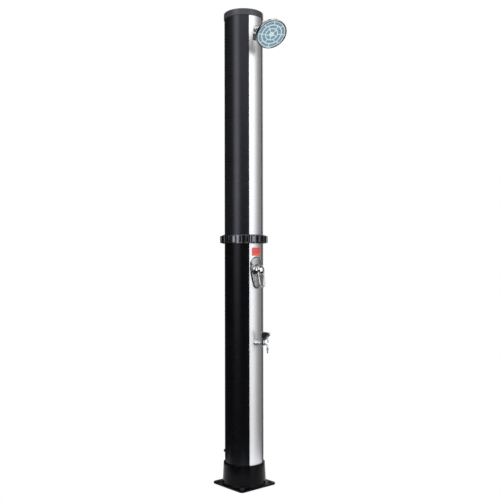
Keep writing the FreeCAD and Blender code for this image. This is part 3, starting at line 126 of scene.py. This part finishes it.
class NodeTree:
    """Short calls for shader nodes that feed each other."""

    def __init__(self, tree, place):
        self.tree = tree
        self.place = tree.nodes.new("ShaderNodeTexCoord").outputs[place]

    def node(self, kind, **inputs):
        made = self.tree.nodes.new("ShaderNode" + kind)
        for socket, value in inputs.items():
            self.feed(made.inputs[socket.replace("_", " ")], value)
        return made

    def feed(self, socket, value):
        if isinstance(value, bpy.types.NodeSocket):
            self.tree.links.new(value, socket)
        else:
            socket.default_value = value

    def stretched(self, scale):
        mapping = self.node("Mapping", Vector=self.place)
        mapping.inputs["Scale"].default_value = scale
        return mapping.outputs["Vector"]

    def noise(self, grain, place=None, detail=3.0, roughness=0.5):
        """Noise whose blotches are about grain metres across."""
        made = self.node("TexNoise", Vector=place or self.place, Scale=1.0 / grain, Detail=detail,
                         Roughness=roughness)
        return made.outputs["Fac"]

    def spread(self, value, low, high, from_low=0.3, from_high=0.7):
        """Value from low to high, as it goes from from_low to from_high, and level beyond them."""
        made = self.node("MapRange")
        self.feed(made.inputs["Value"], value)
        made.inputs["From Min"].default_value = from_low
        made.inputs["From Max"].default_value = from_high
        made.inputs["To Min"].default_value = low
        made.inputs["To Max"].default_value = high
        return made.outputs["Result"]

    def smooth(self, value, low, high, from_low, from_high):
        """As spread, with a soft start and end."""
        result = self.spread(value, low, high, from_low, from_high)
        result.node.interpolation_type = "SMOOTHSTEP"
        return result

    def math(self, operation, first, second):
        made = self.node("Math")
        made.operation = operation
        self.feed(made.inputs[0], first)
        self.feed(made.inputs[1], second)
        return made.outputs[0]

    def vector_math(self, operation, first, second):
        made = self.node("VectorMath")
        made.operation = operation
        self.feed(made.inputs[0], first)
        self.feed(made.inputs[1], second)
        return made.outputs["Value"] if operation == "DOT_PRODUCT" else made.outputs["Vector"]

    def blend(self, factor, first, second):
        made = self.tree.nodes.new("ShaderNodeMix")
        made.data_type = "RGBA"
        self.feed(made.inputs[MIX_FACTOR], factor)
        self.feed(made.inputs[MIX_FIRST], first)
        self.feed(made.inputs[MIX_SECOND], second)
        return made.outputs[MIX_RESULT]


class Recipe(NodeTree):
    """A material with one Principled shader, and short calls for what feeds it."""

    def __init__(self, name, **values):
        self.material = bpy.data.materials.new(name)
        self.material.use_nodes = True
        super().__init__(self.material.node_tree, "Object")
        self.shader = self.tree.nodes["Principled BSDF"]
        for socket, value in values.items():
            self.shader.inputs[socket.replace("_", " ")].default_value = value

    def bevel(self, radius):
        made = self.tree.nodes.new("ShaderNodeBevel")
        made.samples = BEVEL_SAMPLES
        made.inputs["Radius"].default_value = radius
        return made.outputs["Normal"]

    def bumps(self, *layers, rounding=0.0):
        """Each layer is (height, depth in metres); rounding softens the edges of the form."""
        normal = self.bevel(rounding) if rounding else None
        for height, depth in layers:
            made = self.node("Bump", Height=height, Distance=depth)
            if normal is not None:
                self.feed(made.inputs["Normal"], normal)
            normal = made.outputs["Normal"]
        self.feed(self.shader.inputs["Normal"], normal)

    def bolt_rim_highlight(self):
        """1 on the tops of the rims round the four bolt holes, where a patchy highlight is painted."""
        point = self.node("SeparateXYZ", Vector=self.place)
        offsets = []
        for axis in "XY":
            away = self.math("SUBTRACT", self.math("ABSOLUTE", point.outputs[axis], 0.0), BOLT_OFFSET)
            offsets.append(self.math("POWER", self.math("ABSOLUTE", away, 0.0), 2.0))
        distance = self.math("POWER", self.math("ADD", *offsets), 0.5)
        inside = self.smooth(distance, 0.0, 1.0, BOLT_RIM_INNER, BOLT_RIM_INNER + BOLT_RIM_FADE)
        outside = self.smooth(distance, 1.0, 0.0, BOLT_RIM_OUTER - BOLT_RIM_FADE, BOLT_RIM_OUTER)
        # Patchy strength of the painted highlight on the rims
        wear_and_highlight = self.spread(self.noise(11 * MM), 0.4, 1.0)
        return self.math("MULTIPLY", self.math("MULTIPLY", inside, outside), wear_and_highlight)

    def edge_wear_and_highlight(self, radius):
        """1 along convex edges, 0 on flat stretches."""
        geometry = self.tree.nodes.new("ShaderNodeNewGeometry")
        flatness = self.vector_math("DOT_PRODUCT", self.bevel(radius), geometry.outputs["Normal"])
        return self.spread(flatness, 1.0, 0.0, 0.80, 0.98)


def moulded_plastic(name, dark, light, grain, depth, rough, wear_and_highlight=None, rims=None, gloss=0.5, ior=1.5,
                    rounding=0.5 * MM):
    """Injection-moulded plastic with a fine grain, faint blotches and softened edges.

    A lighter tone can go along its edges, as wear and painted highlight, and another on the tops of its bolt rims, as
    painted highlight, where it has them.
    """
    recipe = Recipe(name, IOR=ior, Specular_IOR_Level=gloss, Specular_Tint=COOL_SHEEN)
    blotches = recipe.spread(recipe.noise(60 * MM, detail=4.0), 0.0, 1.0)
    shade = recipe.blend(blotches, dark, light)
    if wear_and_highlight:
        # Lighter tone along the convex edges, in patches: wear and painted highlight
        wear_and_highlight_patches = recipe.spread(recipe.noise(9 * MM), 0.0, 0.5)
        shade = recipe.blend(recipe.math("MULTIPLY", recipe.edge_wear_and_highlight(0.8 * MM), wear_and_highlight_patches), shade, wear_and_highlight)
    # Painted highlight on the tops of the bolt rims
    if rims:
        shade = recipe.blend(recipe.bolt_rim_highlight(), shade, rims)
    recipe.feed(recipe.shader.inputs["Base Color"], shade)
    sheen = recipe.spread(recipe.noise(25 * MM), rough - 0.05, rough + 0.05)
    recipe.feed(recipe.shader.inputs["Roughness"], sheen)
    fine = (recipe.noise(grain, detail=2.0), depth)
    coarse = (recipe.noise(grain * 7), depth * 1.5)
    recipe.bumps(fine, coarse, rounding=rounding)
    return recipe.material


def tank_plastic(name, dark, light, gloss):
    """Extruded tank tube: faint draw lines along its length and a soft satin surface."""
    recipe = Recipe(name, Specular_IOR_Level=gloss, Specular_Tint=COOL_SHEEN)
    drawn = recipe.noise(4 * MM, recipe.stretched((1.0, 1.0, 0.01)), detail=2.0)
    blotches = recipe.spread(recipe.noise(90 * MM, detail=5.0), 0.0, 1.0)
    recipe.feed(recipe.shader.inputs["Base Color"], recipe.blend(blotches, dark, light))
    recipe.feed(recipe.shader.inputs["Roughness"], recipe.spread(recipe.noise(30 * MM), 0.24, 0.29))
    recipe.bumps((drawn, 0.003 * MM), (recipe.noise(1.5 * MM, detail=2.0), 0.003 * MM))
    return recipe.material


def bright_strip():
    """Anodised aluminium with fine brushing along its length."""
    recipe = Recipe("strip_aluminium", Metallic=0.92)
    brushed = recipe.noise(0.5 * MM, recipe.stretched((1.0, 1.0, 0.006)), detail=3.0)
    tint = recipe.blend(recipe.spread(brushed, 0.0, 1.0), colour(226, 227, 230), colour(236, 237, 240))
    recipe.feed(recipe.shader.inputs["Base Color"], tint)
    recipe.feed(recipe.shader.inputs["Roughness"], recipe.spread(brushed, 0.33, 0.38))
    recipe.bumps((brushed, 0.003 * MM))
    return recipe.material


def chrome(name, rough, tone=232, rounding=0.8 * MM):
    """Polished plate with faint water marks and softened edges."""
    recipe = Recipe(name, Metallic=1.0)
    marks = recipe.noise(7 * MM, detail=5.0, roughness=0.6)
    dark = colour(tone - 8, tone - 7, tone - 5)
    light = colour(tone, tone + 1, tone + 3)
    recipe.feed(recipe.shader.inputs["Base Color"], recipe.blend(recipe.spread(marks, 0.0, 1.0), dark, light))
    recipe.feed(recipe.shader.inputs["Roughness"], recipe.spread(marks, rough, rough + 0.05))
    recipe.bumps((recipe.noise(16 * MM), 0.015 * MM), rounding=rounding)
    return recipe.material


def plain_metal(name, tone, rough):
    """Unplated brass or steel with turning marks."""
    recipe = Recipe(name, Metallic=1.0)
    marks = recipe.noise(1.5 * MM, detail=3.0)
    darker = tuple(share * 0.75 for share in tone[:3]) + (1.0,)
    recipe.feed(recipe.shader.inputs["Base Color"], recipe.blend(recipe.spread(marks, 0.0, 1.0), darker, tone))
    recipe.feed(recipe.shader.inputs["Roughness"], recipe.spread(marks, rough, rough + 0.12))
    recipe.bumps((marks, 0.02 * MM))
    return recipe.material


def satin_face():
    """Pale blue spray face, slightly translucent plastic, with painted shade that makes it darker and greyer in its
    pockets.
    """
    recipe = Recipe("spray_face_blue", Subsurface_Weight=0.1)
    recipe.shader.inputs["Subsurface Radius"].default_value = (0.002, 0.003, 0.004)
    forward = head_directions()[0]
    depth = recipe.vector_math("DOT_PRODUCT", recipe.place, forward)
    floor_level = ball_centre().dot(forward) + CELL_FLOOR
    # Painted shade: a darker, greyer tone in the pockets, near their floors
    pocket_shade = recipe.spread(depth, 1.0, 0.0, floor_level + 0.2 * MM, floor_level + 1.4 * MM)
    clouds = recipe.spread(recipe.noise(14 * MM), 0.0, 1.0)
    rib = recipe.blend(clouds, colour(218, 246, 252), colour(228, 250, 255))
    cell = recipe.blend(clouds, colour(134, 166, 184), colour(156, 184, 202))
    recipe.feed(recipe.shader.inputs["Base Color"], recipe.blend(pocket_shade, rib, cell))
    recipe.feed(recipe.shader.inputs["Roughness"], recipe.spread(recipe.noise(6 * MM), 0.30, 0.40))
    recipe.bumps((recipe.noise(0.8 * MM), 0.01 * MM))
    return recipe.material


def glossy_plate(name, main, lower, split, low_z, high_z):
    """Glossy bare plate whose lower part, below split of its height, has a second tone."""
    recipe = Recipe(name, Coat_Weight=0.4)
    point = recipe.node("SeparateXYZ", Vector=recipe.place)
    edge = low_z + (high_z - low_z) * split
    second = recipe.spread(point.outputs["Z"], 1.0, 0.0, edge - LABEL_TONE_EDGE, edge + LABEL_TONE_EDGE)
    grain = recipe.spread(recipe.noise(2.5 * MM), 0.0, 0.12)
    shade = recipe.blend(second, main, lower)
    faded = recipe.blend(grain, shade, colour(200, 200, 200))
    recipe.feed(recipe.shader.inputs["Base Color"], faded)
    recipe.feed(recipe.shader.inputs["Roughness"], recipe.spread(recipe.noise(12 * MM), 0.28, 0.36))
    recipe.bumps((recipe.noise(1.2 * MM), 0.004 * MM))
    return recipe.material


def dress(material, *nodes):
    """Give CAD nodes a material."""
    for node in nodes:
        mesh = frame["nodes"][node].data
        mesh.materials.clear()
        mesh.materials.append(material)


def dress_frame():
    """One material for each CAD node."""
    # The lower tube is darker than the upper partly as its own plastic and partly as painted shade, for the dark
    # surroundings that it reflects
    dress(tank_plastic("tank_upper", colour(22, 22, 27), colour(28, 28, 33), 0.56), "upper_tank_tube")
    dress(tank_plastic("tank_lower", colour(8, 8, 9), colour(11, 11, 13), 0.26), "lower_tank_tube")
    # The ring, couplings and plugs get a pale tone along their edges, which is painted highlight
    black = moulded_plastic("black_moulded", colour(11, 11, 12), colour(15, 15, 16), 0.7 * MM, 0.005 * MM, 0.11,
                            wear_and_highlight=colour(150, 150, 156), gloss=1.0, ior=1.8, rounding=1.4 * MM)
    dress(black, "union_ring", "lower_coupling", "upper_coupling", "bottom_plug", "top_plug")
    # The foot's pale edges and bolt rims are painted highlight
    foot = moulded_plastic("black_foot", colour(6, 6, 7), colour(9, 9, 10), 0.8 * MM, 0.01 * MM, 0.20,
                           wear_and_highlight=colour(90, 90, 94), rims=colour(84, 84, 88), gloss=0.10, rounding=1.2 * MM)
    dress(foot, "base_flange")
    grey = moulded_plastic("grey_moulded", colour(64, 65, 70), colour(74, 76, 82), 0.6 * MM, 0.01 * MM, 0.32,
                           wear_and_highlight=colour(120, 124, 126))
    dress(grey, "top_cap", "inlet_connector", "inlet_backnut")
    dress(bright_strip(), "lower_trim_strip", "upper_trim_strip")
    polished = chrome("chrome_polished", 0.05)
    dress(polished, "mixer_dome", "mixer_lever", "tap_rosette", "tap_body", "tap_bonnet",
          "tap_tail", "tap_tail_ring", "shower_arm", "arm_rosette")
    dress(chrome("chrome_handle", 0.08, 226, rounding=2.5 * MM), "tap_handle")
    plated = chrome("chrome_plastic", 0.12, 222)
    dress(plated, "swivel_nut", "head_shell")
    dress(chrome("chrome_satin", 0.28, 182), "mixer_plate")
    dress(satin_face(), "spray_face")
    brass = plain_metal("brass_plain", (0.55, 0.38, 0.16, 1.0), 0.25)
    dress(brass, "mixer_body", "mixer_locknut", "mixer_spindle", "tap_backnut", "tap_spindle", "arm_backnut")
    steel = plain_metal("steel_plain", (0.45, 0.45, 0.46, 1.0), 0.28)
    dress(steel, "mixer_pin", "lever_screw", "tap_handle_screw")
    rubber = moulded_plastic("rubber_black", colour(20, 20, 20), colour(27, 27, 27), 0.4 * MM, 0.02 * MM, 0.75)
    dress(rubber, "bottom_plug_seal", "top_plug_seal", "union_seal", "inlet_gasket", "mixer_gasket",
          "tap_gasket", "arm_gasket", "cold_feed_hose", "cold_link_hose", "hot_pickup_hose", "shower_riser_hose")
    acetal = moulded_plastic("acetal_white", colour(222, 222, 216), colour(232, 232, 227), 0.5 * MM, 0.01 * MM, 0.4)
    dress(acetal, "mixer_cartridge", "mixer_rotor", "ball_seat")


# ---------------------------------------------------------------- pieces

def new_piece(name, work, material, body):
    """Object made of a bmesh, riding on a body of the frame."""
    mesh = bpy.data.meshes.new(name)
    bmesh.ops.recalc_face_normals(work, faces=work.faces)
    work.to_mesh(mesh)
    work.free()
    for polygon in mesh.polygons:
        polygon.use_smooth = True
    mesh.set_sharp_from_angle(angle=SHARP_ANGLE)
    mesh.materials.append(material)
    piece = bpy.data.objects.new(name, mesh)
    bpy.context.scene.collection.objects.link(piece)
    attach(piece, body)
    return piece


def bridge(work, loops):
    """Faces between each loop of vertices and the next."""
    for lower, upper in zip(loops, loops[1:]):
        count = len(lower)
        for n in range(count):
            following = (n + 1) % count
            work.faces.new((lower[n], lower[following], upper[following], upper[n]))


def rounded_outline(width, height, corner, steps=6):
    """Points round a rectangle with round corners, centred on the origin."""
    points = []
    for quarter in range(4):
        centre_x = (width / 2 - corner) * (1 if quarter in (0, 3) else -1)
        centre_y = (height / 2 - corner) * (1 if quarter in (0, 1) else -1)
        for step in range(steps + 1):
            turn = math.radians(90 * (quarter + step / steps))
            points.append((centre_x + corner * math.cos(turn), centre_y + corner * math.sin(turn)))
    return points


def label_plate(name, width, low_z, high_z, material):
    """Thin plate bent round the strip, with rounded corners and a softened edge."""
    middle = (low_z + high_z) / 2
    height = high_z - low_z
    work = bmesh.new()
    outer = rounded_outline(width, height, LABEL_CORNER)
    inner = rounded_outline(width - 2 * LABEL_CHAMFER, height - 2 * LABEL_CHAMFER, LABEL_CORNER - LABEL_CHAMFER)
    loops = []
    for points, lift in ((outer, 0.0), (outer, LABEL_THICK * 0.6), (inner, LABEL_THICK)):
        loops.append([work.verts.new((x, y, lift)) for x, y in points])
    bridge(work, loops)
    work.faces.new(loops[-1])
    work.faces.new(list(reversed(loops[0])))
    for n in range(1, LABEL_COLUMNS):
        across = width * (n / LABEL_COLUMNS - 0.5)
        geometry = work.verts[:] + work.edges[:] + work.faces[:]
        bmesh.ops.bisect_plane(work, geom=geometry, plane_co=(across, 0, 0), plane_no=(1, 0, 0))
    for vertex in work.verts:
        across, up, lift = vertex.co
        radius = TANK_RADIUS - LABEL_SINK + lift
        turn = across / TANK_RADIUS
        vertex.co = (radius * math.sin(turn), -radius * math.cos(turn), middle + up)
    return new_piece(name, work, material, "post")


def label_plates():
    red = glossy_plate("plate_red", colour(226, 66, 58), colour(236, 96, 80), 0.30, *LOWER_LABEL[1:])
    label_plate("lower_label_plate", *LOWER_LABEL, red)
    dark = glossy_plate("plate_dark", colour(30, 28, 30), colour(98, 26, 44), 0.42, *UPPER_LABEL[1:])
    label_plate("upper_label_plate", *UPPER_LABEL, dark)


def add_nozzle(work, foot, directions):
    """Soft tapered nozzle with a hole in its tip."""
    forward, level, upward = directions
    rings = (
        # radius, rise above the foot
        (NOZZLE_BASE_RADIUS, 0.0),
        (NOZZLE_BASE_RADIUS * 0.9, NOZZLE_HEIGHT * 0.5),
        (NOZZLE_TIP_RADIUS, NOZZLE_HEIGHT),
        (NOZZLE_TIP_RADIUS * 0.45, NOZZLE_HEIGHT),
        (NOZZLE_TIP_RADIUS * 0.4, NOZZLE_HEIGHT * 0.4),
    )
    loops = []
    for radius, rise in rings:
        loop = []
        for side in range(NOZZLE_SIDES):
            angle = 2 * math.pi * side / NOZZLE_SIDES
            point = foot + forward * rise
            point = point + level * (radius * math.cos(angle)) + upward * (radius * math.sin(angle))
            loop.append(work.verts.new(point))
        loops.append(loop)
    bridge(work, loops)
    work.faces.new(loops[-1])


def spray_nozzles():
    """Small soft nozzles standing in the pockets of the spray face."""
    directions = forward, level, upward = head_directions()
    middle = ball_centre() + forward * (CELL_FLOOR - NOZZLE_SINK)
    margin = (1 - NOZZLE_SHARE) / 2
    work = bmesh.new()
    for radius, cells, first_turn, nozzles in CELL_ROWS:
        span = 360 / cells
        for cell in range(cells):
            for n in range(nozzles):
                place = (n + 0.5) / nozzles * NOZZLE_SHARE + margin
                turn = math.radians(first_turn + span * (cell + place))
                across = level * (radius * math.cos(turn)) + upward * (radius * math.sin(turn))
                add_nozzle(work, middle + across, directions)
    soft = moulded_plastic("nozzle_soft", colour(96, 116, 132), colour(112, 132, 148), 0.4 * MM, 0.01 * MM, 0.5)
    return new_piece("spray_nozzles", work, soft, "shower_head")


def head_directions():
    """Unit vectors of the shower head: forward out of its face, level, and upward across its face."""
    flat = math.cos(HEAD_PITCH)
    forward = Vector((-math.sin(HEAD_YAW) * flat, -math.cos(HEAD_YAW) * flat, -math.sin(HEAD_PITCH)))
    level = Vector((0, 0, 1)).cross(forward).normalized()
    return forward, level, forward.cross(level)


def ball_centre():
    """Middle of the arm's ball, which the head's joints share."""
    spin = next(joint for joint in frame["joints"] if joint["name"] == "head_spin")
    return Vector(spin["pos_m"])


# ---------------------------------------------------------------- studio and camera

def softbox(name, azimuth, elevation, distance, width, height, power, aim_z):
    """Area light aimed at the post from an azimuth that counts as the camera's does."""
    flat = math.cos(elevation)
    direction = Vector((math.sin(azimuth) * flat, -math.cos(azimuth) * flat, math.sin(elevation)))
    light = bpy.data.lights.new(name, "AREA")
    light.shape = "RECTANGLE"
    light.size = width
    light.size_y = height
    light.energy = power
    lamp = bpy.data.objects.new(name, light)
    lamp.location = Vector((0, 0, aim_z)) + direction * distance
    lamp.rotation_euler = (-direction).to_track_quat("-Z", "Y").to_euler()
    lamp.visible_glossy = False
    bpy.context.scene.collection.objects.link(lamp)


def world_light():
    """White to the camera; reflections see a studio of white panels with dark gaps between them."""
    world = bpy.data.worlds.new("studio")
    bpy.context.scene.world = world
    world.use_nodes = True
    sky = NodeTree(world.node_tree, "Generated")
    direction = sky.node("SeparateXYZ", Vector=sky.place)
    forward = sky.math("MULTIPLY", direction.outputs["Y"], -1.0)
    azimuth = sky.math("MULTIPLY", sky.math("ARCTAN2", direction.outputs["X"], forward), 180 / math.pi)
    elevation = sky.math("MULTIPLY", sky.math("ARCSINE", direction.outputs["Z"], 0.0), 180 / math.pi)

    def panel(level, *edges):
        """Product of soft edges; each edge is (angle, where it is 0, where it is 1), in degrees."""
        strength = level
        for angle, dark, bright in edges:
            ends = (0.0, 1.0) if dark < bright else (1.0, 0.0)
            edge = sky.smooth(angle, *ends, min(dark, bright), max(dark, bright))
            strength = sky.math("MULTIPLY", strength, edge)
        return strength

    front = sky.math("POWER", sky.spread(azimuth, FRONT_PEAK, 0.0, 0.0, FRONT_WIDTH), FRONT_POWER)
    front = sky.math("MULTIPLY", front, sky.spread(elevation, FRONT_LOW_SHARE, 1.0, -12.0, 3.0))
    left_edge = (azimuth, -10.0, -4.0)
    top_edge = (elevation, 50.0, 36.0)
    low_edge = (elevation, -34.0, -22.0)
    right_edge = (azimuth, 145.0, 128.0)
    panels = [
        # broad front, and more of it above the horizon
        panel(front, left_edge, (elevation, -27.0, -17.0), top_edge),
        panel(0.35, left_edge, (azimuth, 56.0, 28.0), (elevation, -2.0, 3.0), top_edge),
        # narrow lamp on the left, which draws the streak down the upper tube
        panel(2.6, (azimuth, -112.0, -84.0), (azimuth, -56.0, -80.0), (elevation, -3.5, 1.0),
              (elevation, 30.0, 21.0)),
        # sloping ceiling, and a part of it that reaches lower for the cap and the tube's top
        panel(0.85, (azimuth, -150.0, -110.0), (azimuth, -6.0, -30.0), (elevation, 18.0, 25.0)),
        panel(0.80, (azimuth, -66.0, -52.0), (azimuth, -4.0, -14.0), (elevation, 9.0, 14.0),
              (elevation, 40.0, 24.0)),
        panel(0.25, (elevation, 62.0, 72.0)),
        # right wall with a faint stretch in front of it
        panel(0.95, (azimuth, 96.0, 110.0), right_edge, low_edge),
        panel(0.14, (azimuth, 40.0, 80.0), right_edge, low_edge),
    ]
    reflected = REFLECTED_BASE
    for strength in panels:
        reflected = sky.math("ADD", reflected, strength)
    path = sky.node("LightPath")
    mirror = sky.math("MAXIMUM", path.outputs["Is Glossy Ray"], path.outputs["Is Transmission Ray"])
    seen = sky.blend(mirror, (DIFFUSE_LEVEL,) * 3 + (1,), reflected)
    seen = sky.blend(path.outputs["Is Camera Ray"], seen, (1, 1, 1, 1))
    sky.feed(world.node_tree.nodes["Background"].inputs["Color"], seen)


def studio():
    world_light()
    softbox("key_left", math.radians(-80), math.radians(15), distance=3.2, width=1.0, height=2.0, power=24, aim_z=1.3)
    softbox("fill_right", math.radians(0), math.radians(4), distance=3.4, width=1.4, height=2.4, power=34, aim_z=1.2)

    floor = bpy.data.meshes.new("floor")
    near, far = -FLOOR_HALF, FLOOR_HALF
    floor.from_pydata([(near, near, 0), (far, near, 0), (far, far, 0), (near, far, 0)], [], [(0, 1, 2, 3)])
    stage = bpy.data.objects.new("floor", floor)
    bpy.context.scene.collection.objects.link(stage)
    stage.location.z = -FLOOR_GAP
    floor.materials.append(floor_material())


def floor_material():
    """Pale floor: white to the camera and in reflections, apart from a soft share of the object's shadow."""
    recipe = Recipe("floor_pale", Roughness=0.6)
    clouds = recipe.spread(recipe.noise(0.4), 0.0, 1.0)
    pale = recipe.blend(clouds, (0.80, 0.80, 0.80, 1), (0.83, 0.83, 0.83, 1))
    recipe.feed(recipe.shader.inputs["Base Color"], pale)
    path = recipe.node("LightPath")
    recipe.shader.inputs["Emission Color"].default_value = (1, 1, 1, 1)
    mirror = recipe.math("MAXIMUM", path.outputs["Is Glossy Ray"], path.outputs["Is Transmission Ray"])
    seen = recipe.math("MAXIMUM", path.outputs["Is Camera Ray"], mirror)
    glow = recipe.math("MULTIPLY", seen, FLOOR_GLOW)
    recipe.feed(recipe.shader.inputs["Emission Strength"], glow)
    return recipe.material


def camera():
    """The photograph's viewpoint."""
    away = Vector((math.sin(CAMERA_AZIMUTH), -math.cos(CAMERA_AZIMUTH), 0))
    right = Vector((math.cos(CAMERA_AZIMUTH), math.sin(CAMERA_AZIMUTH), 0))
    data = bpy.data.cameras.new("photo_camera")
    data.sensor_width = SENSOR_WIDTH
    data.lens = SENSOR_WIDTH * CAMERA_FOCAL_PIXELS / IMAGE_SIZE
    data.clip_end = CAMERA_FAR
    made = bpy.data.objects.new("photo_camera", data)
    made.location = away * CAMERA_DISTANCE + Vector((0, 0, CAMERA_HEIGHT))
    rise = CAMERA_DISTANCE * math.tan(CAMERA_PITCH)
    aim = right * CAMERA_AIM_RIGHT + Vector((0, 0, CAMERA_HEIGHT + rise))
    level = (aim - made.location).to_track_quat("-Z", "Y")
    made.rotation_euler = (level @ Quaternion((0, 0, 1), CAMERA_ROLL)).to_euler()
    bpy.context.scene.collection.objects.link(made)
    bpy.context.scene.camera = made


# ---------------------------------------------------------------- build

dress_frame()
label_plates()
spray_nozzles()
studio()
camera()
scene = bpy.context.scene
scene.view_settings.view_transform = "Standard"
